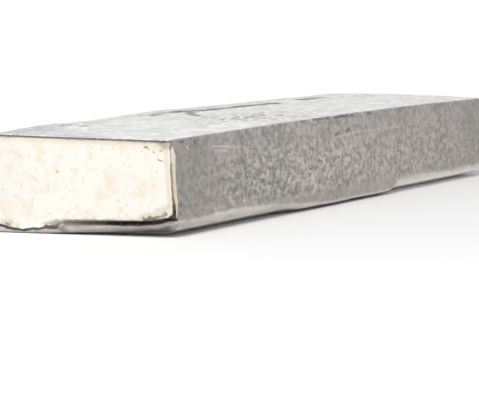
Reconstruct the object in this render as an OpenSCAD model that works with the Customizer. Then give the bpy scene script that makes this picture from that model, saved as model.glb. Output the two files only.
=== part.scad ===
// Lead ingot: one solid bar, cast in a single pour in an open mould with drafted walls.
// It lies on its pour face, whose edge lipped over the mould's rim and rolled under as the
// metal set, and the narrower face that lay on the mould's floor is on top. Length runs
// along X, the end that was cast against a loose end plate is at -X, and the origin is on
// the floor under the middle of the bar.

/* [Bar] */
// Length of the bar over the lip round its foot
bar_l = 323; // [240:1:460]
// Width of the bar over the lip round its foot
bar_w = 86; // [74:1:130]
// Height of the bar at its highest point
bar_h = 39.8; // [32:0.1:58]
// Draft of the long sides, in degrees from upright
side_draft = 5; // [1:0.5:8]
// Draft of the two ends, in degrees from upright
end_draft = 3.5; // [1:0.5:8]
// Radius of the upright corners of the walls, seen from above
corner_r = 1.4; // [1:0.1:6]
// How far the walls swell in and out along their length
wall_wave = 0.5; // [0:0.1:1]

/* [Pour edge] */
// How far the lip round the foot stands out from the walls
lip_out = 0.8; // [0.2:0.1:1.6]
// Radius of the lip's underside, where it rolled under
lip_roll = 3.4; // [1.6:0.1:4]
// How far the lip stands off the floor
lip_lift = 2.4; // [0.8:0.1:4]
// Height of the shoulder where the lip runs back into the wall
shoulder_h = 1.4; // [0.6:0.1:3]
// Radius of the lip's upright corners, seen from above
lip_corner_r = 5; // [3:0.5:9]
// How far in from the wall the pour face has levelled out
edge_reach = 14; // [10:1:26]
// How far the lip stands off the floor where the metal sagged along the front
sag_lift = 1.3; // [0.4:0.1:3]
// Radius of the tighter edge where the metal sagged
sag_roll = 1; // [0.6:0.1:2]

/* [Plate end] */
// How far the end face at -X is set back behind the flash round it
end_recess = 1.1; // [0.2:0.1:2]
// Radius of the lip's underside where it hangs lowest along the end face
end_roll = 1.2; // [0.8:0.1:3]
// Depth of the fold between the lip and the end face, from the wall line
fold_depth = 2.6; // [1:0.1:4]
// Height of the end face's lower edge above the floor
panel_foot = 5.9; // [5.5:0.1:9]
// How much higher that edge turns up at the front corner
panel_turn = 1.8; // [0.8:0.1:4]
// Height of the flash that overhangs the top of the end face
ledge_h = 0.3; // [0.2:0.1:2]

/* [Mould face] */
// Radius of the arris round the mould face
arris_r = 0.5; // [0.3:0.1:1.4]
// How much lower the mould face is at the end at -X than at mid length
near_drop = 0.8; // [0:0.1:2]
// How much lower the mould face is at the end at +X than at mid length
far_drop = 1.5; // [0:0.1:3]
// How far the mould face falls from back to front
face_fall = 1.3; // [0:0.1:3]
// How much the mould face rises between its long edges at +X
dome_h = 0.8; // [0:0.1:2]
// Height of the bead that lapped over along the back edge
bead_h = 1.2; // [0.4:0.1:2.4]
// Distance from the back edge to the lap line where the bead is narrow
lap_near = 8; // [5:0.5:10]
// Distance from the back edge to the lap line where the bead is wide
lap_far = 12; // [10:0.5:18]
// Width of the groove that the lap line leaves
lap_w = 1.6; // [0.8:0.1:2]
// Depth of the groove that the lap line leaves
lap_depth = 0.7; // [0.2:0.1:1.2]

/* [Hidden] */
lead_grey = [0.62, 0.6, 0.57];

// Least gap between the lip and the floor, so that the bar sits on its flat
lip_clear = 0.2;
// How far the pour face is cast past the floor before it is trimmed flat
trim_depth = 1.2;
// Radius of the corners where the inner rings of the mould face turn
inner_corner_r = 1.2;

// Places along the bar, as shares of half its length: start, full, full to, end
sag_shares = [-0.425, -0.287, 0.283, 0.327];
lap_shares = [-0.88, -0.66, 0.73, 0.85];
widen_shares = [-0.26, 0.04];
// The bead along the back edge: places along the bar, each with its share of the bead's height
bead_shares = [
    [-1, 0], [-0.79, 1.05], [-0.66, 0.12], [-0.54, 0.03], [-0.41, 0.22], [-0.3, 0.45],
    [-0.09, 0.58], [0.05, 0.22], [0.19, -0.25], [0.48, -0.4], [0.78, -0.15], [0.94, 0.2], [1, 0]];
// How much of the bead's height stands over the mould face at mid length
bead_mid_share = 0.58;
// Places across the end at -X, as shares of half its width, front to back: where the end face
// ran down over the lip, where the lip droops and thins, and where the end face's foot turns up
tongue_shares = [0.2, 0.36, 0.74, 0.92];
droop_shares = [-0.95, 0.5];
thin_shares = [-1.7, 0.5];
turn_shares = [-1, -0.68];
// How much of the bead's height reaches the arris, and the lap line
bead_edge_share = 0.55;
bead_lap_share = 0.7;
// How much of the shoulder's step is made at mid height
shoulder_share = 0.75;
// How much of the end face's recess is left in the tongue
tongue_recess_share = 0.6;
// Rings of the mould face, as shares of the way from the lap line to its middle
field_shares = [0.15, 0.4, 0.7];
// Stations across half an end, as shares of its straight: the last is where the flash starts
end_shares = [0, 0.14, 0.28, 0.42, 0.56, 0.68, 0.78, 0.86, 0.93, 0.974];
// Turns of the swell along each wall, over half the length
front_turns = 1.3;
back_turns = 1.7;
end_turns = 0.8;

// Steps round the rim and up the section
end_steps = len(end_shares);
corner_steps = 5;
side_steps = 44;
roll_steps = 4;
wall_steps = 4;
arris_steps = 2;

// Rim stations: 0 is the middle of the end at -X, then along the front and back again
near_corner = end_steps + corner_steps;
far_corner = near_corner + side_steps;
half_steps = far_corner + near_corner;
ring_steps = 2 * half_steps;

half_l = bar_l / 2;
wall_half_w = bar_w / 2 - lip_out;
face_half_w = wall_half_w - bar_h * tan(side_draft);

// A value that goes smoothly from 0 to 1 as u does
function ease(u) = let (c = min(1, max(0, u))) c * c * (3 - 2 * c);
function mix(a, b, share) = a + (b - a) * share;
function slope(u, shares) = min(1, max(0, (u - shares[0]) / (shares[1] - shares[0])));
function ramp(u, shares) = ease(slope(u, shares));
function stretch(u, shares) = ramp(u, shares) * (1 - ramp(u, [shares[2], shares[3]]));

// Where a rim station lies: its twin on the front half, along the bar and across an end
function twin(i) = min(i, ring_steps - i);
function on_back(i) = i > half_steps ? 1 : 0;
function along(i) = min(1, max(-1, 2 * (twin(i) - near_corner) / side_steps - 1));
function end_share(j) = j < end_steps ? end_shares[j] : 1;
function across(i) = (2 * on_back(i) - 1) * end_share(twin(i));
function at_plate_end(i) = 1 - ease((twin(i) - end_steps) / corner_steps);
function in_plate_face(i) = twin(i) < end_steps ? 1 : 0;

// Front half of a rectangle with rounded corners, station by station
function half_point(j, hx, hy, r) =
    j < end_steps ? [-hx, -(hy - r) * end_share(j)]
    : j < near_corner ? let (a = 180 + 90 * (j - end_steps) / corner_steps)
        [-(hx - r) + r * cos(a), -(hy - r) + r * sin(a)]
    : j <= far_corner ? [(hx - r) * (2 * (j - near_corner) / side_steps - 1), -hy]
    : j <= far_corner + corner_steps ? let (a = 270 + 90 * (j - far_corner) / corner_steps)
        [hx - r + r * cos(a), -(hy - r) + r * sin(a)]
    : [hx, -(hy - r) * end_share(half_steps - j)];

// A rim station of the drafted bar at height z, set in from the wall
function corner_at(z) = mix(lip_corner_r, corner_r, ease(z / (lip_lift + lip_roll + shoulder_h)));
function rim(i, inset, z) =
    let (hx = half_l - lip_out - z * tan(end_draft) - inset,
         hy = wall_half_w - z * tan(side_draft) - inset,
         p = half_point(twin(i), hx, hy, max(corner_at(z) - inset, inner_corner_r)))
    on_back(i) == 1 ? [p[0], -p[1]] : p;

// Where the front lip sagged, where the end's lip droops, and where the end face ran down over it
function sag(i) = (1 - on_back(i)) * (1 - at_plate_end(i)) * stretch(along(i), sag_shares);
function droop(i) = at_plate_end(i) * slope(across(i), droop_shares);
function thin(i) = at_plate_end(i) * slope(across(i), thin_shares);
function tongue(i) = at_plate_end(i) * stretch(across(i), tongue_shares);

// Lip at a station: how high it stands, how it rolled under and how far it stands out
function lift(i) = mix(mix(lip_lift, lip_clear, droop(i)), sag_lift, sag(i));
function roll(i) = mix(mix(lip_roll, end_roll, thin(i)), sag_roll, sag(i));
function crest_in(i) = -lip_out * (1 - sag(i));
function roll_points(i) =
    [for (k = [0 : roll_steps]) let (a = 90 * k / roll_steps)
        [crest_in(i) + roll(i) * (1 - sin(a)), lift(i) + roll(i) * (1 - cos(a))]];

// Shoulder above the lip, which deepens to a fold along the end face but not in its tongue
function wall_in(i) = end_recess * in_plate_face(i) * mix(1, tongue_recess_share, tongue(i));
function panel_z(i) = panel_foot + panel_turn * (1 - ramp(across(i), turn_shares));
function shoulder_top(i) = mix(lift(i) + roll(i) + shoulder_h, panel_z(i), at_plate_end(i));
function shoulder_in(i) =
    mix(mix(crest_in(i), wall_in(i), shoulder_share), fold_depth, at_plate_end(i) * (1 - tongue(i)));
function shoulder_points(i) =
    [[shoulder_in(i), mix(lift(i) + roll(i), shoulder_top(i), 1 / 2)], [wall_in(i), shoulder_top(i)]];

// Mould face: its height at a point, and the bead and lap line along its back edge
function drop(p) = (p[0] < 0 ? near_drop : far_drop) * pow(p[0] / half_l, 2);
function dome(p) = dome_h * (1 + p[0] / half_l) / 2 * (1 - pow(p[1] / face_half_w, 2));
function face_z(p) =
    bar_h - bead_h * bead_mid_share - face_fall * (1 - p[1] / face_half_w) / 2 - drop(p) + dome(p);
function bead(i) = on_back(i) * (1 - at_plate_end(i)) * bead_h * lookup(along(i), bead_shares);
function lap_in(i) = mix(lap_near, lap_far, ramp(along(i), widen_shares));
function face_profile(i) =
    let (b = bead(i), l = lap_in(i), groove = on_back(i) * lap_depth * stretch(along(i), lap_shares))
    concat(
        [for (k = [0 : arris_steps]) let (a = 90 * k / arris_steps)
            [arris_r * (1 - cos(a)), arris_r * (sin(a) - 1) + b * bead_edge_share]],
        [[l / 2, b], [l - lap_w / 2, b * bead_lap_share], [l, -groove], [l + lap_w / 2, 0]],
        [for (share = field_shares) [mix(l + lap_w / 2, face_half_w, share), 0]]);

// Walls from the shoulder to the ledge under the arris, with the swell that the mould left
function swell(i) =
    let (side = sin(180 * along(i) * (on_back(i) == 1 ? back_turns : front_turns)),
         end = cos(180 * across(i) * end_turns))
    wall_wave * (abs(along(i)) < 1 ? side : end * (1 - at_plate_end(i)));
function rim_z(i) = face_z(rim(i, 0, bar_h));
function wall_top(i) = rim_z(i) - arris_r + bead(i) * bead_edge_share - ledge_h;
function wall_points(i) =
    [for (k = [1 : wall_steps]) let (share = k / wall_steps)
        [wall_in(i) + swell(i) * sin(180 * share), mix(shoulder_top(i), wall_top(i), share)]];

// One column of the skin, from under the floor up to the middle of the mould face
function wall_profile(i) =
    concat([[edge_reach, -trim_depth]], roll_points(i), shoulder_points(i), wall_points(i));
function column(i) = concat(
    [for (p = wall_profile(i)) let (q = rim(i, p[0], p[1])) [q[0], q[1], p[1]]],
    [for (p = face_profile(i)) let (q = rim(i, p[0], rim_z(i))) [q[0], q[1], face_z(q) + p[1]]]);

columns = [for (i = [0 : ring_steps - 1]) column(i)];
rows = len(columns[0]);
function at(i, k) = (i % ring_steps) * rows + k;

// Skin faces between neighbouring columns
skin_faces = [for (i = [0 : ring_steps - 1], k = [0 : rows - 2])
    each [[at(i, k), at(i, k + 1), at(i + 1, k + 1)], [at(i, k), at(i + 1, k + 1), at(i + 1, k)]]];

// Closing faces of a ring: a fan at each end and a ladder along the sides between them
function cap_rim() = concat(
    [for (k = [1 : 2 * near_corner - 1])
        [near_corner, near_corner - k + ring_steps, near_corner - k - 1 + ring_steps]],
    [for (j = [near_corner : far_corner - 1])
        each [[j, ring_steps - j, ring_steps - j - 1], [j, ring_steps - j - 1, j + 1]]],
    [for (k = [1 : 2 * near_corner - 1])
        [ring_steps - far_corner, ring_steps - far_corner - k, ring_steps - far_corner - k - 1]]);
top_faces = [for (f = cap_rim()) [for (i = f) at(i, rows - 1)]];
base_faces = [for (f = cap_rim()) [for (n = [2 : -1 : 0]) at(f[n], 0)]];

// The space under the floor, which trims the pour face flat
module under_floor() {
    translate([-bar_l, -bar_w, -bar_h])
        cube([2 * bar_l, 2 * bar_w, bar_h]);
}

module ingot() {
    color(lead_grey)
        difference() {
            polyhedron(
                points = [for (c = columns) each c],
                faces = concat(skin_faces, top_faces, base_faces));
            under_floor();
        }
}

ingot();
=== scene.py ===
"""Looks of a cast lead ingot: the bar's cast skin, its marks and finish, a plain studio and a camera.

Lengths in the classes are in millimetres in the ingot's own frame: X runs along the bar, the end
that was cast against a plate is at -X, the front is at -Y, and the floor is at Z = 0.
"""

import logging
import math
from dataclasses import dataclass
from enum import Enum

import bmesh
import bpy
import numpy as np
from mathutils import Matrix, Vector, noise

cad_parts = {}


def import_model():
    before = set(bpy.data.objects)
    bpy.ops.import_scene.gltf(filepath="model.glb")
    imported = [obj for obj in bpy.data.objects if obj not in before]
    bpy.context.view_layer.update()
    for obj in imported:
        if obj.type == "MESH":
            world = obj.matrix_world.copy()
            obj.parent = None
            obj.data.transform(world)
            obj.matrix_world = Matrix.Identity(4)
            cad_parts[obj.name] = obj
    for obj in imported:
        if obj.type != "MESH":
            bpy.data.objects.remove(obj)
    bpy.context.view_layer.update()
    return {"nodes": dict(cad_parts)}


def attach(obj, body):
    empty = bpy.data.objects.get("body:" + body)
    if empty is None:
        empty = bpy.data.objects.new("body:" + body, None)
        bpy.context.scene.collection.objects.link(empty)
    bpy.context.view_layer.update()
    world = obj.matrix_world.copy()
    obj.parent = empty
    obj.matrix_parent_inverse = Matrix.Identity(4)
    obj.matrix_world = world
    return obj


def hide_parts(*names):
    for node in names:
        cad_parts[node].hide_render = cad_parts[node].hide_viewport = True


LOG = logging.getLogger("lead_ingot")
MM = 0.001
TINY = 1e-9
Span = tuple[float, float]
Table = tuple[Span, ...]


def ease(values: np.ndarray, low: float | np.ndarray, high: float | np.ndarray) -> np.ndarray:
    """Smooth step from 0 where values are at low to 1 where they are at high."""
    share = np.clip((values - low) / (high - low), 0.0, 1.0)
    return share * share * (3.0 - 2.0 * share)


def read(table: Table, values: np.ndarray) -> np.ndarray:
    """Reads a table of places and readings, straight between its rows."""
    places, readings = zip(*table)
    return np.interp(values, places, readings)


@dataclass(frozen=True)
class Tone:
    """A colour as it is seen, in steps of 0 to 255."""

    red: float
    green: float
    blue: float

    def linear(self) -> tuple[float, float, float, float]:
        """Turns the colour into linear light.

        Returns:
            Red, green, blue and full alpha.
        """
        steps = [value / 255.0 for value in (self.red, self.green, self.blue)]
        light = [s / 12.92 if s <= 0.04045 else ((s + 0.055) / 1.055) ** 2.4 for s in steps]
        return (light[0], light[1], light[2], 1.0)


class Face(Enum):
    """A face that marks lie on: the way it looks, and the two axes that place a mark on it."""

    PLATE_END = ((-1.0, 0.0, 0.0), (1, 2))
    FRONT = ((0.0, -1.0, 0.0), (0, 2))
    TOP = ((0.0, 0.0, 1.0), (0, 1))

    @property
    def outward(self) -> np.ndarray:
        """Direction that the face looks in."""
        return np.array(self.value[0])

    @property
    def axes(self) -> tuple[int, int]:
        """Axes of the face's own two coordinates."""
        return self.value[1]


class Zone(Enum):
    """A share that the skin stores at every vertex for its finish."""

    UPPER = "upper"
    PLATE = "plate"
    FOOT = "foot"
    SPECKLE = "speckle"
    FROST = "frost"
    # Dark dirt, and painted shade in the plate end's creases, on its lip and under its ledge.
    STAIN = "stain"
    OCHRE = "ochre"
    # Bare bright metal, and painted reflection and highlight at the foot.
    BRIGHT = "bright"
    BLUSH = "blush"
    STREAK = "streak"
    # Painted shade: a factor on the walls' and upper face's colour.
    SHADE = "shade"


@dataclass(frozen=True)
class Mark:
    """A dent, stroke, patch of dirt or painted shade along a line on one face, with a ragged outline.

    Attributes:
        face: The face that it lies on.
        path: Points of its line, in the face's own two coordinates.
        width: How far it reaches to either side of the line.
        depth: How deep it is sunk.
        stain: Share of dark dirt in it; in the end's fold and fin groove it is partly painted shade.
        ochre: Share of brown in it.
        bright: Share of bare bright metal in it; along the thin rim at the foot it is a painted highlight.
        blush: Share of tan in it, on the plate end alone.
        ragged: How far its outline frays, as a share of its width.
        core: Share of its width that it covers in full.
        patchy: How far it breaks up into patches.
        edge_share: Longest mesh edge that shows it, as a share of its width.
        finest: Shortest that such an edge is asked to be.
        coarsest: Longest that such an edge may be.
        facing: How squarely the skin has to look the face's way, from none of the mark to all of it.
        fray_reach: How far the fraying may carry, as a multiple of ragged.
    """

    face: Face
    path: Table
    width: float
    depth: float = 0.0
    stain: float = 0.0
    ochre: float = 0.0
    bright: float = 0.0
    blush: float = 0.0
    ragged: float = 0.5
    core: float = 0.3
    patchy: float = 0.0
    edge_share: float = 0.65
    finest: float = 0.45
    coarsest: float = 2.0
    facing: Span = (0.1, 0.4)
    fray_reach: float = 1.5

    @property
    def edge(self) -> float:
        """Longest mesh edge that still shows the mark."""
        return min(max(self.edge_share * self.width, self.finest), self.coarsest)

    @property
    def paints(self) -> dict[Zone, float]:
        """Share of each zone that the mark paints."""
        shares = (self.stain, self.ochre, self.bright, self.blush)
        return dict(zip((Zone.STAIN, Zone.OCHRE, Zone.BRIGHT, Zone.BLUSH), shares))

    def gap(self, spots: np.ndarray) -> np.ndarray:
        """Distance of each spot on the face from the line.

        Args:
            spots: Places in the face's own two coordinates, one row each.

        Returns:
            The distances, in millimetres.
        """
        least = np.full(len(spots), np.inf)
        ends = list(self.path) if len(self.path) > 1 else [self.path[0], self.path[0]]
        for start, end in zip(ends, ends[1:]):
            first, step = np.array(start), np.array(end) - np.array(start)
            share = np.clip((spots - first) @ step / max(step @ step, TINY), 0.0, 1.0)
            least = np.minimum(least, np.linalg.norm(spots - first - share[:, None] * step, axis=1))
        return least

    def nearness(self, places: np.ndarray, normals: np.ndarray, jitter: np.ndarray) -> np.ndarray:
        """How near each vertex is to the line.

        Args:
            places: Vertex places, one row each.
            normals: Vertex normals, one row each.
            jitter: Noise of about -1 to 1 along each axis, which frays the outline.

        Returns:
            1 on the line, falling smoothly to 0 at the mark's width, and 0 on other faces.
        """
        frayed = places + self.ragged * self.width * jitter
        facing = ease(normals @ self.face.outward, *self.facing)
        gap = self.gap(frayed[:, self.face.axes])
        return facing * (1.0 - ease(gap, self.core * self.width, self.width))

    def covers(self, places: np.ndarray, normals: np.ndarray) -> np.ndarray:
        """Finds the places that the mark may reach.

        Args:
            places: Vertex places, one row each.
            normals: Vertex normals, one row each.

        Returns:
            The row numbers of those places.
        """
        spots = places[:, self.face.axes]
        reach = (1.0 + self.fray_reach * self.ragged) * self.width
        low, high = np.min(self.path, axis=0) - reach, np.max(self.path, axis=0) + reach
        inside = np.all((spots > low) & (spots < high), axis=1)
        rows = np.flatnonzero(inside & (normals @ self.face.outward > self.facing[0]))
        return rows[self.gap(spots[rows]) < reach]


@dataclass(frozen=True)
class LapLine:
    """The seam along the back of the upper face, where the metal lapped over."""

    back: float = 38.7
    near_inset: float = 8.0
    far_inset: float = 12.0
    widens: Span = (-41.6, 6.4)

    def across(self, along: np.ndarray) -> np.ndarray:
        """Y of the seam at places along X."""
        return self.back - self.near_inset - (self.far_inset - self.near_inset) * ease(along, *self.widens)


END, FRONT, TOP = Face.PLATE_END, Face.FRONT, Face.TOP
END_NICKS = (
    Mark(END, ((-27.4, 33.9), (-28.6, 33.9)), 0.55, 0.2, 0.6, ochre=0.4),
    Mark(END, ((-29.3, 33.0),), 0.55, 0.2, 0.4, ochre=0.3, ragged=0.9),
    Mark(END, ((-26.4, 32.4),), 0.7, stain=0.25, ragged=0.9),
    Mark(END, ((-31.2, 31.9),), 0.6, 0.2, 0.4, ochre=0.3, ragged=0.9),
    Mark(END, ((-34.2, 32.6), (-34.8, 32.4)), 0.5, 0.15, 0.35, ochre=0.3, ragged=0.9),
    Mark(END, ((-33.5, 29.2), (-35.2, 28.7)), 0.5, 0.2, 0.4, ochre=0.3, ragged=0.9),
    Mark(END, ((10.6, 23.8),), 1.1, 0.3, ochre=0.25, blush=0.5),
)
# Dark line in the groove beside the fin at the front of the plate end: part dirt, part painted shade in the
# corner.
FIN_GROOVE = (
    Mark(END, ((-38.2, 36.2), (-39.2, 36.2)), 0.8, stain=0.6, ochre=0.4),
    Mark(END, ((-38.9, 36.2), (-38.9, 33.5)), 0.6, stain=0.55, ochre=0.4),
    Mark(END, ((-38.9, 33.5), (-39.0, 31.1), (-39.3, 28.0)), 0.5, stain=0.25, ochre=0.3),
    Mark(END, ((-39.3, 28.0), (-39.9, 19.8), (-40.3, 15.4)), 0.55, stain=0.55, ochre=0.5),
    Mark(END, ((-40.3, 15.4), (-40.7, 12.4)), 0.64, stain=0.68, ochre=0.5),
    Mark(END, ((-40.7, 12.4), (-41.0, 10.2)), 0.78, stain=0.85, ochre=0.5),
    Mark(END, ((-40.9, 9.8), (-40.4, 8.2), (-38.6, 7.3), (-36.0, 6.6)), 0.9, stain=0.98),
    Mark(END, ((-41.0, 10.2), (-41.4, 8.7), (-41.2, 7.7), (-40.0, 7.0)), 0.92, stain=0.96),
    Mark(END, ((-40.6, 32.0), (-41.0, 22.0), (-41.6, 12.0)), 1.3, ochre=0.2, blush=0.8, core=0.6),
)
# Dark crease along the top of the plate end's lip, part dirt and part painted shade, with brown smudges and
# washes.
FOLD_DIRT_AND_SHADE = (
    Mark(
        END,
        ((13.5, 2.6), (18.0, 2.0), (24.7, 1.3), (31.5, 2.0), (34.6, 2.6), (39.0, 3.2)),
        0.75,
        stain=0.95,
    ),
    Mark(END, ((15.0, 2.4), (12.5, 2.8), (9.5, 2.6)), 1.2, stain=0.9, ragged=0.8),
    Mark(END, ((13.0, 3.2), (9.0, 4.0), (6.5, 1.8)), 2.2, stain=0.5, ragged=0.9),
    Mark(END, ((33.0, 3.4), (31.0, 3.0)), 0.7, stain=0.3, ochre=0.5, ragged=0.9),
    Mark(
        END,
        ((-27.5, 6.8), (-30.5, 7.1), (-33.0, 7.6), (-35.5, 8.4), (-37.3, 9.5)),
        1.1,
        stain=0.62,
        ochre=0.6,
        ragged=1.1,
        patchy=0.5,
    ),
    Mark(END, ((-36.0, 5.8), (-9.0, 5.2), (8.0, 4.4)), 1.5, ochre=0.3, ragged=0.9, core=0.0),
    Mark(END, ((-38.0, 3.0), (-20.0, 2.4), (6.0, 1.9)), 2.2, ochre=0.16, ragged=0.9, core=0.0, patchy=0.6),
)
END_WASHES = (
    Mark(END, ((27.0, 3.0), (35.0, 4.2)), 1.6, ochre=0.15, blush=0.6, core=0.0),
    Mark(END, ((13.0, 4.6), (16.0, 3.8)), 1.4, ochre=0.15, blush=0.5, core=0.0),
    Mark(END, ((-26.0, 7.4), (-33.0, 9.0), (-38.5, 12.0)), 2.0, ochre=0.12, blush=0.5, core=0.0),
    Mark(
        END,
        ((-37.6, 35.0), (-37.9, 22.0), (-38.7, 12.0)),
        2.6,
        blush=0.45,
        ragged=0.9,
        core=0.0,
        patchy=0.7,
    ),
    Mark(END, ((-34.0, 35.4), (-38.5, 34.6)), 2.6, ochre=0.46, core=0.0),
    Mark(
        END,
        ((-39.0, 34.9), (-20.0, 35.2), (0.0, 35.5), (39.0, 36.2)),
        1.7,
        blush=0.45,
        ragged=0.9,
        core=0.0,
    ),
    Mark(END, ((-31.0, 33.4), (-37.0, 32.6)), 3.0, blush=0.4, core=0.0),
)
TAN_PATCHES = tuple(
    Mark(END, path, width, blush=0.34, ragged=1.1, core=0.1)
    for path, width in (
        (((-3.5, 25.4), (-5.8, 24.6)), 1.6),
        (((3.0, 25.2), (1.5, 23.8)), 1.4),
        (((-11.0, 21.2), (-13.0, 20.4)), 1.9),
        (((-13.5, 18.2), (-16.0, 17.0)), 1.6),
        (((-9.0, 15.0), (-11.0, 14.4)), 1.8),
        (((-23.5, 16.6), (-26.0, 16.0)), 2.0),
        (((25.0, 22.5), (20.0, 21.5)), 1.5),
        (((22.0, 18.0), (19.5, 15.0)), 1.5),
        (((26.5, 14.0), (24.5, 10.0)), 1.8),
        (((18.0, 28.3), (15.5, 27.6)), 1.7),
        (((32.0, 30.4), (29.5, 31.0)), 1.8),
    )
)
ARRIS_NICKS = (
    Mark(FRONT, ((-150.6, 35.7), (-147.6, 35.5)), 0.8, 0.25, 0.5),
    Mark(FRONT, ((-138.4, 35.0),), 1.3, 0.3, 0.55),
    Mark(FRONT, ((-41.5, 36.8), (-39.0, 36.7)), 0.7, 0.2, 0.4),
    Mark(FRONT, ((-30.0, 37.0), (-20.0, 36.9)), 0.7, 0.2, 0.5),
    Mark(FRONT, ((-17.5, 36.9), (-14.0, 36.8)), 0.9, 0.25, 0.5),
    Mark(FRONT, ((-9.0, 36.8), (4.0, 36.7)), 0.8, 0.25, 0.55),
    Mark(FRONT, ((6.5, 36.6), (10.0, 36.5)), 0.9, 0.25, 0.55),
    Mark(FRONT, ((26.5, 36.5), (30.0, 36.4)), 0.9, 0.25, 0.5),
    Mark(FRONT, ((44.0, 36.5), (52.0, 36.4)), 0.7, 0.2, 0.22, ragged=0.9, patchy=0.6),
    Mark(FRONT, ((64.0, 36.4), (76.0, 36.3)), 0.8, 0.2, 0.2, ragged=0.9, patchy=0.8),
)
WALL_NICKS = (
    Mark(FRONT, ((-154.7, 11.9),), 1.2, 0.3, 0.6),
    Mark(FRONT, ((-155.4, 9.0),), 1.0, 0.25, 0.45),
    Mark(FRONT, ((-66.0, 31.2), (-55.0, 30.6)), 0.7, 0.15, 0.12),
    Mark(FRONT, ((-46.0, 30.8), (-36.0, 30.2)), 0.7, 0.15, 0.14),
    Mark(FRONT, ((-9.5, 29.5), (-5.0, 30.2)), 0.9, 0.3, 0.5),
    Mark(FRONT, ((2.6, 30.2), (5.4, 31.0)), 1.2, 0.4, 0.55, ragged=0.3),
    Mark(FRONT, ((6.8, 9.8),), 0.9, 0.3, 0.35),
)
WALL_SCRATCHES_AND_HIGHLIGHT = (
    Mark(FRONT, ((-145.3, 33.6), (-144.8, 32.9)), 0.7, bright=0.6),
    Mark(FRONT, ((-123.5, 32.3), (-116.0, 31.8), (-109.5, 31.4)), 0.5, 0.15, bright=0.4),
    Mark(FRONT, ((-121.5, 30.5), (-116.0, 30.3), (-110.5, 29.8)), 1.0, bright=0.3, ragged=0.9, core=0.0),
    Mark(FRONT, ((-113.5, 31.3), (-92.0, 29.8), (-70.5, 28.6)), 0.5, 0.1, bright=0.14),
    Mark(FRONT, ((-9.0, 28.3), (6.0, 29.2)), 0.7, 0.1, bright=0.22),
    Mark(FRONT, ((9.0, 29.4), (33.0, 29.5), (60.0, 28.8)), 0.8, 0.2, bright=0.14),
    Mark(FRONT, ((-113.6, 12.2), (-111.8, 9.4)), 0.8, bright=0.3, ragged=0.9),
    Mark(FRONT, ((-101.3, 9.8), (-100.2, 7.6)), 0.7, bright=0.3, ragged=0.9),
    Mark(FRONT, ((-128.0, 9.0), (-125.5, 7.2)), 0.7, bright=0.25, ragged=0.9),
    Mark(FRONT, ((-90.0, 8.8), (-91.5, 7.0)), 0.8, bright=0.3, ragged=0.9),
    # Painted highlight along the thin rim at the foot of the sag.
    Mark(FRONT, ((-47.0, 3.0), (-20.0, 1.9), (20.0, 1.9), (45.0, 2.2)), 0.7, bright=0.3, finest=1.2),
)
SEAM_STAINS = (
    Mark(TOP, ((-141.0, 27.7), (-125.0, 26.6)), 1.6, stain=0.2),
    Mark(TOP, ((-113.5, 24.6), (-110.5, 24.4)), 2.4, 0.2, 0.85, patchy=0.4),
    Mark(TOP, ((-98.0, 27.1), (-94.0, 27.0)), 2.0, stain=0.3, patchy=0.7),
    Mark(TOP, ((-47.0, 28.2), (-41.0, 28.0)), 2.8, 0.2, 0.7, ochre=0.9, patchy=0.35),
    Mark(TOP, ((-36.0, 28.5), (-28.0, 29.2)), 2.2, stain=0.45, patchy=0.7),
    Mark(TOP, ((-26.5, 28.6), (-20.0, 28.2)), 2.4, stain=0.85, ochre=0.8, patchy=0.4),
    Mark(TOP, ((-18.5, 27.6), (-14.5, 26.6)), 2.8, stain=0.85, ochre=0.8, patchy=0.4),
    Mark(TOP, ((-13.5, 24.8), (-9.0, 24.2)), 4.0, stain=0.88, ochre=0.9, patchy=0.35),
    Mark(TOP, ((-6.0, 24.0), (5.0, 23.4)), 4.0, 0.2, 0.92, ochre=0.6, patchy=0.45),
    Mark(TOP, ((8.0, 22.0), (17.0, 20.6)), 4.4, stain=0.75, ochre=0.4, patchy=0.6),
    Mark(TOP, ((19.0, 20.2), (35.0, 19.8)), 5.2, stain=0.9, ochre=0.4, patchy=0.5),
    Mark(TOP, ((38.0, 19.4), (44.0, 19.4)), 5.0, stain=0.8, ochre=0.4, patchy=0.6),
    Mark(TOP, ((48.0, 19.2), (53.0, 19.4)), 6.0, stain=0.5, ochre=1.0, patchy=0.3),
    Mark(TOP, ((84.0, 20.4), (96.0, 20.6)), 5.6, stain=0.92, patchy=0.45),
    Mark(TOP, ((99.0, 20.4), (106.0, 19.4)), 5.0, stain=0.75, patchy=0.6),
)
TOP_STAINS_AND_DARK_EDGE = (
    Mark(TOP, ((-22.0, 23.5), (-26.0, 20.5)), 3.0, stain=0.5, ochre=0.95, ragged=0.9, patchy=0.5),
    Mark(TOP, ((-31.0, 18.5), (-35.0, 15.5)), 3.0, stain=0.4, ochre=0.95, ragged=0.9, patchy=0.5),
    Mark(TOP, ((-39.0, 12.0), (-42.0, 8.5)), 2.8, stain=0.5, ochre=0.8, ragged=0.8, patchy=0.6),
    # Darker along the back edge of the upper face.
    Mark(TOP, ((-53.0, 38.2), (-35.0, 38.2)), 1.2, stain=0.5),
    Mark(TOP, ((-35.0, 38.3), (150.0, 38.3)), 0.9, stain=0.2, finest=1.2),
    Mark(TOP, ((128.0, 12.0), (140.0, 10.0)), 2.4, 0.2, 0.3),
)
END_MARKS = END_NICKS + FIN_GROOVE + FOLD_DIRT_AND_SHADE + END_WASHES + TAN_PATCHES
FRONT_MARKS = ARRIS_NICKS + WALL_NICKS + WALL_SCRATCHES_AND_HIGHLIGHT
TOP_MARKS = SEAM_STAINS + TOP_STAINS_AND_DARK_EDGE


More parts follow.
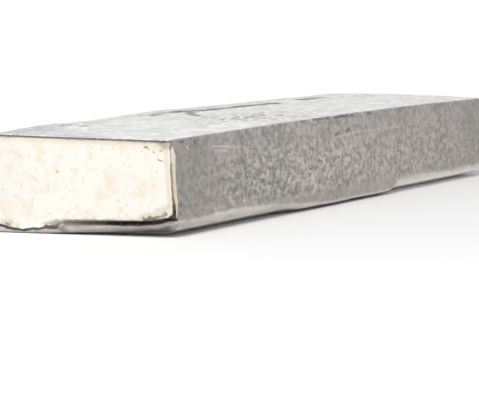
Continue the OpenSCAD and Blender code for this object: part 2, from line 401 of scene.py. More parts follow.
@dataclass
class CastSkin:
    """The bar's outer form: the CAD node's own surface, cut finer and given its cast skin."""

    node: bpy.types.Object
    name: str = "lead_ingot"

    half_length: float = 161.5
    half_width: float = 43.0
    lip_out: float = 0.8
    end_slope: float = math.tan(math.radians(3.5))
    side_slope: float = math.tan(math.radians(5.0))
    ledge_mid: float = 36.85
    ledge_rise: float = 0.0167

    merge_gap: float = 0.002
    flat_angle: float = 0.2
    cells: tuple[float, float, float] = (6.0, 6.0, 4.0)
    snap: float = 0.02
    most_passes: int = 10
    crease_angle: float = 48.0
    under_height: float = 0.05
    under_edge: float = 24.0
    ledge_reach: float = 0.9
    ledge_edge: float = 0.42
    rim_height: float = 8.6
    fin_box: tuple[float, float] = (7.0, 6.0)
    rim_edge: float = 0.6
    end_depth: float = 4.0
    end_edge: float = 1.0
    front_facing: float = 0.3
    front_edge: float = 1.8
    top_facing: float = 0.5
    top_edge: float = 2.6
    hidden_edge: float = 7.0

    swell: float = 0.2
    swell_length: float = 24.0
    grain: float = 0.08
    grain_length: float = 3.4
    grain_seed: float = 71.0
    grain_least: float = 0.4
    ripple: float = 0.2
    ripple_length: float = 6.0
    ripple_seed: float = -37.0
    ripple_least: float = 0.35
    fray_length: float = 2.2
    fray_seeds: tuple[float, float, float] = (5.0, 23.0, 41.0)
    patch_level: float = 0.45
    patch_gain: float = 1.1
    still_height: Span = (0.1, 1.5)
    run_x: float = 1.75
    run_from: Span = (28.0, 33.0)
    run_to: Span = (38.0, 40.5)
    run_top: Span = (7.0, 8.0)
    run_fade: float = 0.4
    run_most: float = 4.0
    run_depth: float = 6.0

    end_fade: Span = (3.6, 4.2)
    corner: float = 1.4
    corner_fade: float = 0.3
    fin_fade: Span = (-0.15, 0.15)
    fin_reaches: Table = (
        (8.0, 1.6),
        (11.0, 2.2),
        (13.0, 2.4),
        (20.0, 1.7),
        (25.0, 2.0),
        (31.0, 3.1),
        (35.0, 0.9),
    )
    upper_facing: Span = (0.4, 0.75)
    upper_height: Span = (32.0, 34.0)
    ledge_fade: Span = (-0.05, 0.15)
    fine_length: float = 1.8
    fine_seed: float = 13.0
    lip_fray: float = 0.25
    lip_fade: Span = (0.0, 0.5)
    lip_tops: Table = (
        (-39.5, 6.0),
        (-38.2, 5.7),
        (-35.3, 4.7),
        (-32.0, 4.4),
        (-27.0, 3.8),
        (-9.0, 3.6),
        (0.0, 3.3),
        (9.0, 2.6),
        (18.0, 2.0),
        (24.7, 1.3),
        (31.5, 2.0),
        (40.0, 3.2),
    )

    fold_fray: float = 0.12
    # Darkness in the fold above the lip: part dirt, part painted shade.
    fold_shares: Table = ((-32.0, 1.0), (-15.0, 0.98), (-8.0, 0.9), (0.0, 0.74), (7.0, 0.6), (12.0, 0.0))
    panel_feet: Table = ((-39.5, 8.1), (-37.7, 7.7), (-34.0, 6.9), (-30.5, 6.4), (-17.0, 6.0), (0.0, 5.7))
    foot_fades: tuple[Span, Span] = ((-1.0, -0.3), (-0.3, 0.15))
    # Painted shadow, with some dirt, on the plate end's lip, darkest towards the front; lighter on the lip's
    # crest.
    lip_dirt_and_shadow: Table = (
        (-42.0, 0.3),
        (-39.0, 0.75),
        (-30.0, 0.8),
        (-25.0, 0.7),
        (-18.0, 0.5),
        (-10.0, 0.3),
        (14.0, 0.15),
    )
    lip_crest_lighter: float = 0.45
    lip_crest_lighter_fade: Span = (-1.7, -0.7)
    # Painted shade: a thin dark line under the ledge that overhangs the plate end.
    ledge_painted_shade: float = 0.68
    ledge_painted_shade_fray: float = 0.1
    ledge_painted_shade_drop: float = 0.05
    ledge_painted_shade_fade: Span = (0.2, 0.6)

    band_tops: Table = (
        (-158.0, 6.2),
        (-140.5, 6.2),
        (-122.5, 6.6),
        (-105.5, 7.1),
        (-78.5, 5.9),
        (-50.5, 4.0),
        (-20.5, 2.4),
        (42.0, 2.4),
        (48.5, 4.0),
        (54.5, 6.2),
        (77.5, 6.2),
        (101.5, 5.8),
        (140.0, 5.9),
    )
    back_band: float = 5.8
    band_ragged: float = 0.6
    band_ragged_length: float = 6.0
    band_squash: float = 0.3
    band_fray: float = 0.3
    band_fade: Span = (-0.7, 0.6)
    foot_shares: Table = ((-90.0, 1.0), (-60.0, 0.8), (-30.0, 0.4), (40.0, 0.4), (50.0, 1.0))
    # Painted reflection on the foot band towards +X, low down.
    glare_from: Span = (42.0, 60.0)
    glare_height: Span = (2.5, 6.0)

    foot_cover: float = 0.8
    belt_foot: Span = (5.0, 9.0)
    belt_head: Span = (20.0, 31.0)
    belt_drop: float = 0.5
    # Painted shade on the walls: dimmer towards both ends, most at the plate end.
    wall_shades: Table = (
        (-158.0, 0.86),
        (-135.0, 0.88),
        (-110.0, 0.94),
        (-60.0, 1.0),
        (0.0, 1.03),
        (80.0, 1.0),
        (150.0, 0.93),
    )
    speckle_shares: Table = (
        (-160.0, 0.12),
        (-140.0, 0.25),
        (-118.0, 0.6),
        (-98.0, 1.0),
        (-25.0, 1.0),
        (20.0, 0.65),
        (110.0, 0.5),
        (150.0, 0.2),
    )
    streak_shares: Table = (
        (-160.0, 0.2),
        (-90.0, 0.3),
        (-20.0, 0.55),
        (40.0, 0.9),
        (120.0, 0.9),
        (152.0, 0.3),
    )

    frost_spot: tuple[float, float, float, float] = (-38.0, -14.0, 32.0, 18.0)
    frost_least: float = 0.1
    corner_line: tuple[float, float, float] = (-150.0, -6.0, 1.27)
    corner_line_fade: Span = (-3.0, 6.0)
    corner_end: Span = (-128.0, -118.0)
    corner_dim: float = 0.18
    behind_fade: Span = (0.0, 1.5)
    behind_dim: float = 0.1
    lap: LapLine = LapLine()
    marks: tuple[Mark, ...] = END_MARKS + FRONT_MARKS + TOP_MARKS

    def build(self) -> bpy.types.Object:
        """Makes the piece, sculpts it and stores its zones.

        Returns:
            The finished object, at the origin.
        """
        mesh = bpy.data.meshes.new(self.name)
        form = bmesh.new()
        form.from_mesh(self.node.data)
        bmesh.ops.remove_doubles(form, verts=form.verts, dist=self.merge_gap * MM)
        self._cut(form)
        self._refine(form)
        for polygon in form.faces:
            polygon.smooth = True
        form.to_mesh(mesh)
        form.free()
        self._sculpt(mesh)
        mesh.set_sharp_from_angle(angle=math.radians(self.crease_angle))
        piece = bpy.data.objects.new(self.name, mesh)
        bpy.context.scene.collection.objects.link(piece)
        LOG.info("%s: %d triangles", self.name, len(mesh.polygons))
        return piece

    def _cut(self, form: bmesh.types.BMesh) -> None:
        """Clears the flats of their triangles, then cuts the form into cells along each axis.

        Args:
            form: The form, which is changed in place and left as triangles.
        """
        angle = math.radians(self.flat_angle)
        bmesh.ops.dissolve_limit(form, angle_limit=angle, verts=form.verts, edges=form.edges)
        for axis, step in enumerate(self.cells):
            across = Matrix.Identity(3)[axis]
            levels = [vertex.co[axis] for vertex in form.verts]
            for level in np.arange(min(levels), max(levels), step * MM)[1:]:
                bmesh.ops.bisect_plane(
                    form,
                    geom=[*form.verts, *form.edges, *form.faces],
                    dist=self.snap * MM,
                    plane_co=across * float(level),
                    plane_no=across,
                )
        bmesh.ops.triangulate(form, faces=form.faces)

    def _refine(self, form: bmesh.types.BMesh) -> None:
        """Halves the longest edge of every triangle that has an edge too long for its place.

        Args:
            form: The form, in triangles, which is changed in place.
        """
        draft = bpy.data.meshes.new(self.name + "_draft")
        for _ in range(self.most_passes):
            form.to_mesh(draft)
            places, normals = self._vertices(draft)
            ends = np.empty(len(draft.edges) * 2, np.int32)
            draft.edges.foreach_get("vertices", ends)
            first, last = ends.reshape(-1, 2).T
            lengths = np.linalg.norm(places[first] - places[last], axis=1)
            middles = (places[first] + places[last]) / 2
            long = lengths > self._longest(middles, (normals[first] + normals[last]) / 2)

            sides = np.empty(len(draft.loops), np.int32)
            draft.loops.foreach_get("edge_index", sides)
            sides = sides.reshape(-1, 3)
            sides = sides[long[sides].any(axis=1)]
            if not len(sides):
                break
            picked = np.zeros(len(lengths), bool)
            picked[np.take_along_axis(sides, lengths[sides].argmax(axis=1)[:, None], axis=1)] = True
            chosen = [edge for edge, cut in zip(form.edges, picked.tolist()) if cut]
            bmesh.ops.subdivide_edges(form, edges=chosen, cuts=1, use_single_edge=True)
            bmesh.ops.triangulate(form, faces=[f for f in form.faces if len(f.verts) > 3])
        bpy.data.meshes.remove(draft)

    @staticmethod
    def _vertices(mesh: bpy.types.Mesh) -> tuple[np.ndarray, np.ndarray]:
        """Reads a mesh's vertices.

        Args:
            mesh: The mesh, in metres.

        Returns:
            Places, in millimetres, and normals, one row each.
        """
        places = np.empty(len(mesh.vertices) * 3, np.float32)
        normals = np.empty_like(places)
        mesh.vertices.foreach_get("co", places)
        mesh.vertex_normals.foreach_get("vector", normals)
        return places.reshape(-1, 3).astype(float) / MM, normals.reshape(-1, 3).astype(float)

    def _longest(self, places: np.ndarray, normals: np.ndarray) -> np.ndarray:
        """Longest edge that the form keeps at each place.

        Args:
            places: Middles of the edges, one row each.
            normals: Which way the form looks there, one row each.

        Returns:
            The lengths, in millimetres.
        """
        x, y, z = places.T
        depth, beside = x + self.half_length, y + self.half_width
        at_end = depth < self.end_depth
        fin = (depth < self.fin_box[0]) & (beside < self.fin_box[1])
        kinds = (
            (z < self.under_height, self.under_edge),
            (at_end & (np.abs(z - self._ledge(y)) < self.ledge_reach), self.ledge_edge),
            (fin | (at_end & (z < self.rim_height)), self.rim_edge),
            (at_end, self.end_edge),
            (normals[:, 1] < -self.front_facing, self.front_edge),
            (normals[:, 2] > self.top_facing, self.top_edge),
        )
        tests, edges = zip(*kinds)
        longest = np.select(tests, edges, self.hidden_edge)
        for mark in self.marks:
            rows = mark.covers(places, normals)
            longest[rows] = np.minimum(longest[rows], mark.edge)
        return longest

    def _sculpt(self, mesh: bpy.types.Mesh) -> None:
        """Moves the vertices to the cast skin's relief and stores the zones.

        Args:
            mesh: The mesh, which is changed in place.
        """
        places, normals = self._vertices(mesh)
        places[:, 0] -= self._run_down(places)
        frays = [self._noise(places, self.fray_length, seed) for seed in self.fray_seeds]
        jitter = np.stack(frays, axis=1)

        zones = self._zones(places, normals)
        rough = self._noise(places, self.grain_length, self.grain_seed)
        ripples = self.ripple * self._noise(places, self.ripple_length, self.ripple_seed)
        ripples += self.grain * rough
        lift = self.swell * self._noise(places, self.swell_length)
        lift += self.grain * rough * (self.grain_least + zones[Zone.SPECKLE] + zones[Zone.FOOT])
        lift += ripples * zones[Zone.UPPER] * (self.ripple_least + zones[Zone.FROST])
        for mark in self.marks:
            rows = mark.covers(places, normals)
            near = mark.nearness(places[rows], normals[rows], jitter[rows])
            patches = self.patch_gain - mark.patchy * (self.patch_level - rough[rows])
            near *= np.clip(patches, 0.0, 1.0)
            lift[rows] -= mark.depth * near
            for zone, share in mark.paints.items():
                zones[zone][rows] = np.maximum(zones[zone][rows], share * near)
        zones[Zone.BLUSH] *= zones[Zone.PLATE]
        lift *= ease(places[:, 2], *self.still_height)

        moved = (places + normals * lift[:, None]) * MM
        mesh.vertices.foreach_set("co", moved.astype(np.float32).ravel())
        mesh.update()
        for zone, shares in zones.items():
            layer = mesh.attributes.new(zone.value, "FLOAT", "POINT")
            layer.data.foreach_set("value", shares.astype(np.float32))

    def _zones(self, places: np.ndarray, normals: np.ndarray) -> dict[Zone, np.ndarray]:
        """Works out the zones from where each vertex lies and which way it looks.

        Args:
            places: Vertex places, one row each.
            normals: Vertex normals, one row each.

        Returns:
            The share of each zone at each vertex.
        """
        x, y, z = places.T
        fine = self._noise(places, self.fine_length, self.fine_seed)
        at_end = self._at_end(places)
        upper = ease(normals[:, 2], *self.upper_facing) * ease(z, *self.upper_height)
        upper = np.maximum(upper, at_end * ease(z - self._ledge(y), *self.ledge_fade))
        over_lip = z - read(self.lip_tops, y) - self.lip_fray * fine
        lip = at_end * (1.0 - ease(over_lip, *self.lip_fade))
        plate = at_end * (1.0 - lip) * (1.0 - upper)

        foot = np.maximum(lip, (1.0 - at_end) * self._band(places, fine))
        wall = (1.0 - upper) * (1.0 - plate) * (1.0 - self.foot_cover * foot)
        belt = ease(z, *self.belt_foot) * (1.0 - self.belt_drop * ease(z, *self.belt_head))
        # Painted reflection on the lower foot band towards +X.
        glare = ease(x, *self.glare_from) * (1.0 - ease(z, *self.glare_height))
        return {
            Zone.UPPER: upper,
            Zone.PLATE: plate,
            Zone.FOOT: foot,
            Zone.SPECKLE: read(self.speckle_shares, x) * belt * wall,
            Zone.FROST: self._frost(x, y) * upper,
            Zone.STAIN: at_end * self._end_dirt_and_shade(y, z, over_lip, fine),
            Zone.OCHRE: np.zeros(len(x)),
            Zone.BRIGHT: foot * glare,
            Zone.BLUSH: np.zeros(len(x)),
            Zone.STREAK: read(self.streak_shares, x) * wall,
            Zone.SHADE: upper * self._upper_shade(x, y) + (1.0 - upper) * read(self.wall_shades, x),
        }

    def _at_end(self, places: np.ndarray) -> np.ndarray:
        """How far each place belongs to the plate end, with the fin at its front edge.

        Args:
            places: Vertex places, one row each.

        Returns:
            A share from 0 to 1 for each.
        """
        x, y, z = places.T
        depth = x + self.half_length - self.lip_out - self.end_slope * z
        inset = self.half_width - self.lip_out - self.side_slope * z - np.abs(y)
        inside = ease(inset, self.corner - self.corner_fade, self.corner)
        fin = np.where(y < 0.0, read(self.fin_reaches, z), self.corner) - depth
        return (1.0 - ease(depth, *self.end_fade)) * np.maximum(inside, ease(fin, *self.fin_fade))

    def _band(self, places: np.ndarray, fine: np.ndarray) -> np.ndarray:
        """Share of the pale band along the walls' foot.

        Args:
            places: Vertex places, one row each.
            fine: Fine noise there, which frays the band's top.

        Returns:
            Share of the pale band along the walls' foot, whose paleness is partly painted reflection.
        """
        x, y, z = places.T
        squashed = places * (1.0, 1.0, self.band_squash)
        ragged = self._noise(squashed, self.band_ragged_length)
        top = np.where(y < 0.0, read(self.band_tops, x), self.back_band)
        top += self.band_ragged * ragged + self.band_fray * fine
        return (1.0 - ease(z - top, *self.band_fade)) * read(self.foot_shares, x)

    def _end_dirt_and_shade(self, y: np.ndarray, z: np.ndarray, over_lip: np.ndarray, fine: np.ndarray) -> np.ndarray:
        """Dirt and painted shade of the plate end: in its fold, on its lip and under its ledge.

        Args:
            y: Vertex places across the bar.
            z: Vertex heights.
            over_lip: Heights over the lip's top.
            fine: Fine noise there, which frays the dirt and painted shade.

        Returns:
            A share from 0 to 1 for each.
        """
        above = ease(over_lip, *self.lip_fade)
        over_foot = z - read(self.panel_feet, y)
        # Dirt and painted shade in the fold.
        fold = read(self.fold_shares, y) * (1.0 + self.fold_fray * fine) * above
        fold *= 1.0 - sum(ease(over_foot, *fade) for fade in self.foot_fades) / len(self.foot_fades)
        # Painted shadow with some dirt on the lip, lighter at its crest.
        on_lip = (1.0 - above) * read(self.lip_dirt_and_shadow, y)
        on_lip *= 1.0 - self.lip_crest_lighter * ease(over_lip, *self.lip_crest_lighter_fade)
        # Painted shade in a thin line under the ledge.
        gap = np.abs(z - self._ledge(y) + self.ledge_painted_shade_drop)
        under = (self.ledge_painted_shade + self.ledge_painted_shade_fray * fine) * (1.0 - ease(gap, *self.ledge_painted_shade_fade))
        return np.clip(np.maximum(np.maximum(fold, on_lip), under), 0.0, 1.0)

    def _frost(self, x: np.ndarray, y: np.ndarray) -> np.ndarray:
        """Share of frost at places on the upper face, strongest round its spot.

        Args:
            x: Vertex places along the bar.
            y: Vertex places across the bar.

        Returns:
            A share from 0 to 1 for each.
        """
        middle_x, middle_y, reach_x, reach_y = self.frost_spot
        spot = np.exp(-(((x - middle_x) / reach_x) ** 2) - ((y - middle_y) / reach_y) ** 2)
        return self.frost_least + (1.0 - self.frost_least) * spot

    def _upper_shade(self, x: np.ndarray, y: np.ndarray) -> np.ndarray:
        """Painted shade on the upper face: dimmer in its corner by the end and behind the seam.

        Args:
            x: Vertex places along the bar.
            y: Vertex places across the bar.

        Returns:
            A factor for each.
        """
        line_x, line_y, slope = self.corner_line
        corner = ease(y - line_y - slope * (x - line_x), *self.corner_line_fade)
        corner *= 1.0 - ease(x, *self.corner_end)
        behind = ease(y - self.lap.across(x), *self.behind_fade)
        return 1.0 - self.corner_dim * corner - self.behind_dim * behind

    def _run_down(self, places: np.ndarray) -> np.ndarray:
        """How far each vertex moves out at -X, so that the end runs down to the lip near the back.

        Args:
            places: Vertex places, one row each.

        Returns:
            The distances, in millimetres.
        """
        x, y, z = places.T
        plane = self.run_x + self.end_slope * z - self.half_length
        share = ease(y, *self.run_from) * (1.0 - ease(y, *self.run_to))
        share *= ease(z - read(self.lip_tops, y), 0.0, self.run_fade) * (1.0 - ease(z, *self.run_top))
        return share * np.clip(x - plane, 0.0, self.run_most) * (x < self.run_depth - self.half_length)

    def _ledge(self, across: np.ndarray) -> np.ndarray:
        """Height of the ledge over the plate end at places along Y."""
        return self.ledge_mid + self.ledge_rise * across

    @staticmethod
    def _noise(places: np.ndarray, length: float, seed: float = 0.0) -> np.ndarray:
        """Smooth noise of about -1 to 1 whose bumps are that long, shifted by the seed."""
        return np.array([noise.noise(Vector(p)) for p in (places + seed) / length])


@dataclass(frozen=True)
class Grain:
    """Noise in an object's own space.

    Attributes:
        size: Length of its bumps along each axis, in millimetres.
        low: Noise that counts as 0.
        high: Noise that counts as 1.
        detail: Steps of finer noise in it.
        seed: How far it is shifted, so that two of one size differ.
    """

    size: tuple[float, float, float]
    low: float
    high: float
    detail: float = 3.0
    seed: float = 0.0


class NodeGraph:
    """A node tree in the making."""

    def __init__(self, tree: bpy.types.NodeTree) -> None:
        """Starts from an empty tree."""
        self.tree = tree
        tree.nodes.clear()

    def add(self, kind: str, **inputs: object) -> bpy.types.Node:
        """Adds a node.

        Args:
            kind: The node's type.
            inputs: Socket names, with _ for a space, and a value or an output socket for each.

        Returns:
            The new node.
        """
        node = self.tree.nodes.new(kind)
        for name, value in inputs.items():
            self.feed(node.inputs[name.replace("_", " ")], value)
        return node

    def feed(self, socket: bpy.types.NodeSocket, value: object) -> None:
        """Links an output socket into a socket, or sets its value.

        Args:
            socket: The socket that takes it.
            value: An output socket or a plain value.
        """
        if isinstance(value, bpy.types.NodeSocket):
            self.tree.links.new(value, socket)
        else:
            socket.default_value = value

    def share(self, zone: Zone) -> bpy.types.NodeSocket:
        """Reads a zone.

        Args:
            zone: The zone.

        Returns:
            Its stored share.
        """
        node = self.add("ShaderNodeAttribute")
        node.attribute_name = zone.value
        return node.outputs["Fac"]

    def math(self, operation: str, *values: object) -> bpy.types.NodeSocket:
        """One sum of two or three values.

        Args:
            operation: Blender's name for the sum.
            values: Output sockets or plain numbers.

        Returns:
            The result.
        """
        node = self.add("ShaderNodeMath")
        node.operation = operation
        for socket, value in zip(node.inputs, values):
            self.feed(socket, value)
        return node.outputs[0]

    def product(self, *values: object) -> bpy.types.NodeSocket:
        """All the values multiplied together.

        Args:
            values: Output sockets or plain numbers, a socket first.

        Returns:
            The product.
        """
        total = values[0]
        for value in values[1:]:
            total = self.math("MULTIPLY", total, value)
        return total

    def blend(self, share: object, first: object, second: object) -> bpy.types.NodeSocket:
        """A colour between two colours.

        Args:
            share: How far it goes towards the second.
            first: The colour at a share of 0.
            second: The colour at a share of 1.

        Returns:
            The colour.
        """
        node = self.add("ShaderNodeMix")
        node.data_type = "RGBA"
        # The node repeats its socket names for each data type, so its colours are found by number.
        for number, value in ((0, share), (6, first), (7, second)):
            self.feed(node.inputs[number], value)
        return node.outputs[2]

    def scaled(self, colour: object, factor: object) -> bpy.types.NodeSocket:
        """A colour made darker or lighter.

        Args:
            colour: The colour.
            factor: What it is multiplied by.

        Returns:
            The new colour.
        """
        node = self.add("ShaderNodeVectorMath")
        node.operation = "SCALE"
        self.feed(node.inputs[0], colour)
        self.feed(node.inputs["Scale"], factor)
        return node.outputs[0]

    def grain(self, kind: Grain) -> bpy.types.NodeSocket:
        """Noise in the object's own space.

        Args:
            kind: How the noise looks.

        Returns:
            A value from 0 to 1.
        """
        place = self.add("ShaderNodeTexCoord")
        stretch = self.add("ShaderNodeMapping", Vector=place.outputs["Object"])
        stretch.vector_type = "TEXTURE"
        stretch.inputs["Location"].default_value = [kind.seed * length * MM for length in kind.size]
        stretch.inputs["Scale"].default_value = [length * MM for length in kind.size]
        speck = self.add("ShaderNodeTexNoise", Vector=stretch.outputs[0], Scale=1.0, Detail=kind.detail)
        limits = self.add(
            "ShaderNodeMapRange", Value=speck.outputs["Fac"], From_Min=kind.low, From_Max=kind.high
        )
        limits.interpolation_type = "SMOOTHSTEP"
        return limits.outputs[0]


@dataclass(frozen=True)
class LeadFinish:
    """Cast lead: grey crystalline walls, a pale frosted face, a cream end and a pale lip, the end's and the
    lip's paleness partly painted reflection.
    """

    wall: Tone = Tone(164, 160, 154)
    wall_warm: Tone = Tone(172, 166, 160)
    wall_fleck: Tone = Tone(214, 210, 203)
    wall_pore: Tone = Tone(112, 108, 102)
    clouds: Grain = Grain((26.0, 26.0, 14.0), 0.35, 0.65)
    crystals: Grain = Grain((3.4, 3.4, 2.6), 0.36, 0.66, seed=3.0)
    crystal_bits: Grain = Grain((1.8, 1.8, 1.5), 0.34, 0.66, seed=5.0)
    wall_streaks: Grain = Grain((2.4, 2.4, 2.8), 0.36, 0.66, seed=11.0)
    wall_flecks: Grain = Grain((3.2, 3.2, 2.4), 0.54, 0.64, seed=17.0)
    wall_pores: Grain = Grain((3.6, 3.6, 2.4), 0.58, 0.68, seed=29.0)
    bits_share: float = 0.5
    swing_least: float = 0.18
    swing_more: float = 0.4
    streak_share: float = 0.16
    fleck_share: float = 0.75
    pore_share: float = 0.45

    # The lip's pale tone is partly painted reflection off its rolled edge.
    lip: Tone = Tone(218, 214, 207)
    lip_streaks: Grain = Grain((9.0, 5.0, 1.6), 0.4, 0.7, seed=41.0)
    lip_streak_share: float = 0.4

    face: Tone = Tone(229, 229, 229)
    face_grey: Tone = Tone(194, 193, 191)
    face_dark: Tone = Tone(116, 111, 103)
    face_white: Tone = Tone(246, 246, 246)
    frost: Grain = Grain((3.6, 2.4, 3.0), 0.46, 0.6, detail=4.0, seed=9.0)
    drifts: Grain = Grain((40.0, 16.0, 20.0), 0.4, 0.64, seed=51.0)
    mottle: Grain = Grain((9.0, 6.0, 5.0), 0.44, 0.62, detail=4.0, seed=61.0)
    glints: Grain = Grain((5.0, 3.0, 3.0), 0.54, 0.64, seed=71.0)
    drift_share: float = 0.3
    mottle_share: float = 0.4
    glint_share: float = 0.9
    frost_share: float = 0.95

    # The end's cream, made pale partly by a painted reflection of the lamp.
    plate: Tone = Tone(238, 235, 227)
    plate_tan: Tone = Tone(229, 211, 180)
    plate_fleck: Tone = Tone(196, 192, 172)
    washes: Grain = Grain((6.0, 6.0, 6.0), 0.48, 0.7, detail=5.0, seed=81.0)
    plate_flecks: Grain = Grain((1.7, 1.7, 1.7), 0.6, 0.7, seed=91.0)
    wash_share: float = 0.36
    plate_fleck_share: float = 0.4

    blush: Tone = Tone(230, 212, 180)
    # Bare bright metal, and painted reflection and highlight at the foot.
    bright: Tone = Tone(250, 248, 243)
    ochre: Tone = Tone(118, 86, 42)
    # Dark brown for dirt and for painted shade.
    grime_and_shade: Tone = Tone(31, 23, 15)
    roughness: float = 0.58
    metallic: float = 0.3
    bump: float = 0.4
    relief: float = 0.4

    def material(self) -> bpy.types.Material:
        """Makes the material.

        Returns:
            A material that reads the skin's zones.
        """
        made = bpy.data.materials.new("cast_lead")
        made.use_nodes = True
        graph = NodeGraph(made.node_tree)
        crystals, frost = graph.grain(self.crystals), graph.grain(self.frost)

        colour = graph.blend(graph.share(Zone.FOOT), self._wall(graph, crystals), self._lip(graph))
        colour = graph.blend(graph.share(Zone.UPPER), colour, self._face(graph, frost))
        colour = graph.scaled(colour, graph.share(Zone.SHADE))
        colour = graph.blend(graph.share(Zone.PLATE), colour, self._plate(graph))
        # Blends in tan, bare metal with painted highlight, brown, and last dark dirt with painted shade.
        for zone, tone in (
            (Zone.BLUSH, self.blush),
            (Zone.BRIGHT, self.bright),
            (Zone.OCHRE, self.ochre),
            (Zone.STAIN, self.grime_and_shade),
        ):
            colour = graph.blend(graph.share(zone), colour, tone.linear())

        speckled = graph.product(crystals, graph.share(Zone.SPECKLE))
        height = graph.math("MULTIPLY_ADD", frost, graph.share(Zone.FROST), speckled)
        relief = graph.add("ShaderNodeBump", Strength=self.bump, Distance=self.relief * MM, Height=height)
        shader = graph.add(
            "ShaderNodeBsdfPrincipled",
            Base_Color=colour,
            Roughness=self.roughness,
            Metallic=self.metallic,
            Normal=relief.outputs[0],
        )
        graph.add("ShaderNodeOutputMaterial", Surface=shader.outputs[0])
        LOG.info("%s: %d nodes", made.name, len(made.node_tree.nodes))
        return made

    def _wall(self, graph: NodeGraph, crystals: bpy.types.NodeSocket) -> bpy.types.NodeSocket:
        """The walls' grey, with crystals that swing its level, pale flecks and dark pores.

        Args:
            graph: The material's nodes.
            crystals: The noise of the crystals.

        Returns:
            The colour.
        """
        speckle, streak = graph.share(Zone.SPECKLE), graph.share(Zone.STREAK)
        flecks = graph.product(graph.grain(self.wall_flecks), speckle, self.fleck_share)
        pores = graph.product(graph.grain(self.wall_pores), speckle, self.pore_share)
        both = graph.math("MULTIPLY_ADD", graph.grain(self.crystal_bits), self.bits_share, crystals)
        swing = graph.product(
            graph.math("SUBTRACT", both, (1.0 + self.bits_share) / 2),
            graph.math("MULTIPLY_ADD", speckle, self.swing_more, self.swing_least),
        )
        sway = graph.math("SUBTRACT", graph.grain(self.wall_streaks), 0.5)
        sway = graph.product(sway, streak, self.streak_share)
        level = graph.math("ADD", graph.math("ADD", swing, sway), 1.0)
        colour = graph.blend(graph.grain(self.clouds), self.wall.linear(), self.wall_warm.linear())
        colour = graph.scaled(colour, level)
        colour = graph.blend(flecks, colour, self.wall_fleck.linear())
        return graph.blend(pores, colour, self.wall_pore.linear())

    def _lip(self, graph: NodeGraph) -> bpy.types.NodeSocket:
        """The pale lip, with soft grey streaks; its paleness is partly painted reflection."""
        streaks = graph.product(graph.grain(self.lip_streaks), self.lip_streak_share)
        return graph.blend(streaks, self.lip.linear(), self.wall.linear())

    def _face(self, graph: NodeGraph, frost: bpy.types.NodeSocket) -> bpy.types.NodeSocket:
        """The upper face: pale, with drifts of grey, white glints and dark frost.

        Args:
            graph: The material's nodes.
            frost: The noise of the frost.

        Returns:
            The colour.
        """
        drifts = graph.product(graph.grain(self.drifts), self.drift_share)
        mottle = graph.product(graph.grain(self.mottle), self.mottle_share)
        glints = graph.product(graph.grain(self.glints), self.glint_share)
        dark = graph.product(frost, graph.share(Zone.FROST), self.frost_share)
        colour = graph.blend(drifts, self.face.linear(), self.face_grey.linear())
        colour = graph.blend(mottle, colour, self.face_grey.linear())
        colour = graph.blend(glints, colour, self.face_white.linear())
        return graph.blend(dark, colour, self.face_dark.linear())

    def _plate(self, graph: NodeGraph) -> bpy.types.NodeSocket:
        """The plate end: cream, with washes and flecks of tan; its brightness is partly a painted reflection.

        Args:
            graph: The material's nodes.

        Returns:
            The colour.
        """
        washes = graph.product(graph.grain(self.washes), self.wash_share)
        flecks = graph.product(graph.grain(self.plate_flecks), self.plate_fleck_share)
        colour = graph.blend(washes, self.plate.linear(), self.plate_tan.linear())
        return graph.blend(flecks, colour, self.plate_fleck.linear())


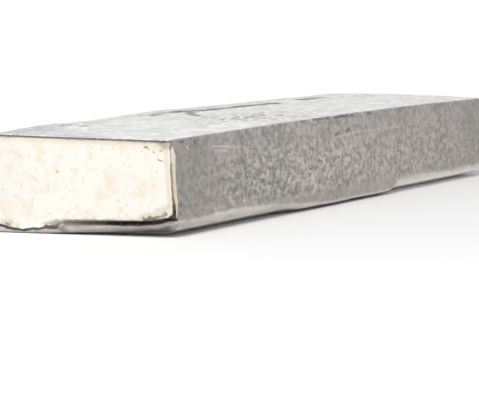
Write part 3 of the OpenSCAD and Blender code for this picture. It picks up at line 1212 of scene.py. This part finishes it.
@dataclass(frozen=True)
class Studio:
    """A white floor under soft light, with one large lamp at the plate end."""

    floor_size: float = 40.0
    floor_white: float = 0.93
    fade_from: float = 0.25
    fade_to: float = 0.5
    sky: float = 0.55
    lamp_from: tuple[float, float, float] = (-0.66, -0.12, 0.74)
    lamp_distance: float = 1.5
    lamp_size: float = 1.0
    lamp_level: float = 0.62

    def build(self) -> None:
        """Makes the floor, the sky and the lamp."""
        self._floor()
        self._sky()
        self._lamp()

    def _floor(self) -> None:
        """Lays the floor, which turns to plain white away from the object."""
        form = bmesh.new()
        bmesh.ops.create_grid(form, x_segments=1, y_segments=1, size=self.floor_size / 2)
        mesh = bpy.data.meshes.new("floor")
        form.to_mesh(mesh)
        form.free()
        floor = bpy.data.objects.new("floor", mesh)
        bpy.context.scene.collection.objects.link(floor)

        made = bpy.data.materials.new("studio_floor")
        made.use_nodes = True
        graph = NodeGraph(made.node_tree)
        place = graph.add("ShaderNodeTexCoord")
        reach = graph.add("ShaderNodeVectorMath")
        reach.operation = "LENGTH"
        graph.feed(reach.inputs[0], place.outputs["Object"])
        fade = graph.add(
            "ShaderNodeMapRange", Value=reach.outputs["Value"], From_Min=self.fade_from, From_Max=self.fade_to
        )
        fade.interpolation_type = "SMOOTHSTEP"
        seen = graph.product(fade.outputs[0], self._seen(graph))
        matt = graph.add("ShaderNodeBsdfDiffuse", Color=(self.floor_white,) * 3 + (1.0,))
        white = graph.add("ShaderNodeEmission", Color=(1.0, 1.0, 1.0, 1.0), Strength=1.0)
        mixed = graph.add("ShaderNodeMixShader")
        for socket, value in zip(mixed.inputs, (seen, matt.outputs[0], white.outputs[0])):
            graph.feed(socket, value)
        graph.add("ShaderNodeOutputMaterial", Surface=mixed.outputs[0])
        mesh.materials.append(made)
        LOG.info("floor: %.0f m square", self.floor_size)

    def _sky(self) -> None:
        """Lights the scene evenly, and shows as plain white."""
        world = bpy.data.worlds.new("studio_sky")
        world.use_nodes = True
        graph = NodeGraph(world.node_tree)
        level = graph.math("MULTIPLY_ADD", self._seen(graph), 1.0 - self.sky, self.sky)
        glow = graph.add("ShaderNodeBackground", Color=(1.0, 1.0, 1.0, 1.0), Strength=level)
        graph.add("ShaderNodeOutputWorld", Surface=glow.outputs[0])
        bpy.context.scene.world = world

    @staticmethod
    def _seen(graph: NodeGraph) -> bpy.types.NodeSocket:
        """Tells what the camera sees, directly, mirrored or through something.

        Args:
            graph: The nodes to add to.

        Returns:
            1 for what is seen, and 0 for light on other surfaces.
        """
        path = graph.add("ShaderNodeLightPath").outputs
        mirrored = graph.math("ADD", path["Is Glossy Ray"], path["Is Transmission Ray"])
        both = graph.math("ADD", path["Is Camera Ray"], mirrored)
        both.node.use_clamp = True
        return both

    def _lamp(self) -> None:
        """Hangs the large lamp."""
        lamp = bpy.data.lights.new("lamp", "AREA")
        lamp.size = self.lamp_size
        lamp.energy = self.lamp_level * (math.pi * self.lamp_distance) ** 2
        holder = bpy.data.objects.new("lamp", lamp)
        away = Vector(self.lamp_from).normalized()
        holder.location = away * self.lamp_distance
        holder.rotation_euler = away.to_track_quat("Z", "Y").to_euler()
        bpy.context.scene.collection.objects.link(holder)
        LOG.info("lamp: %.1f W", lamp.energy)


@dataclass(frozen=True)
class View:
    """The camera: where it looks from, in degrees, and how far off it is."""

    turn: float = -63.597
    tilt: float = 5.143
    roll: float = -0.845
    aim: tuple[float, float, float] = (-6.064, 7.918, -4.1)
    distance: float = 1235.4
    lens: float = 214.27
    sensor: float = 36.0
    clip: Span = (0.05, 100.0)

    def build(self) -> None:
        """Makes the camera and hands it to the scene."""
        turn, tilt, roll = (math.radians(a) for a in (self.turn, self.tilt, self.roll))
        back = Vector(
            (math.sin(turn) * math.cos(tilt), -math.cos(turn) * math.cos(tilt), math.sin(tilt))
        )
        level = Vector((math.cos(turn), math.sin(turn), 0.0))
        upright = back.cross(level)
        right = level * math.cos(roll) + upright * math.sin(roll)
        axes = Matrix((right, back.cross(right), back)).transposed()

        camera = bpy.data.cameras.new("camera")
        camera.lens = self.lens
        camera.sensor_fit = "HORIZONTAL"
        camera.sensor_width = self.sensor
        camera.clip_start, camera.clip_end = self.clip
        holder = bpy.data.objects.new("camera", camera)
        place = (Vector(self.aim) + back * self.distance) * MM
        holder.matrix_world = Matrix.Translation(place) @ axes.to_4x4()
        bpy.context.scene.collection.objects.link(holder)
        bpy.context.scene.camera = holder
        LOG.info("camera: %.1f mm lens at %.3f m", self.lens, self.distance * MM)


def main() -> None:
    """Builds the ingot over its CAD frame, the studio and the camera."""
    logging.basicConfig(level=logging.INFO, format="%(name)s: %(message)s")
    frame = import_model()

    ingot = CastSkin(frame["nodes"]["ingot"]).build()
    ingot.data.materials.append(LeadFinish().material())
    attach(ingot, "root")
    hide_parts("ingot")

    Studio().build()
    View().build()
    bpy.context.scene.view_settings.view_transform = "Standard"


if __name__ == "__main__":
    main()
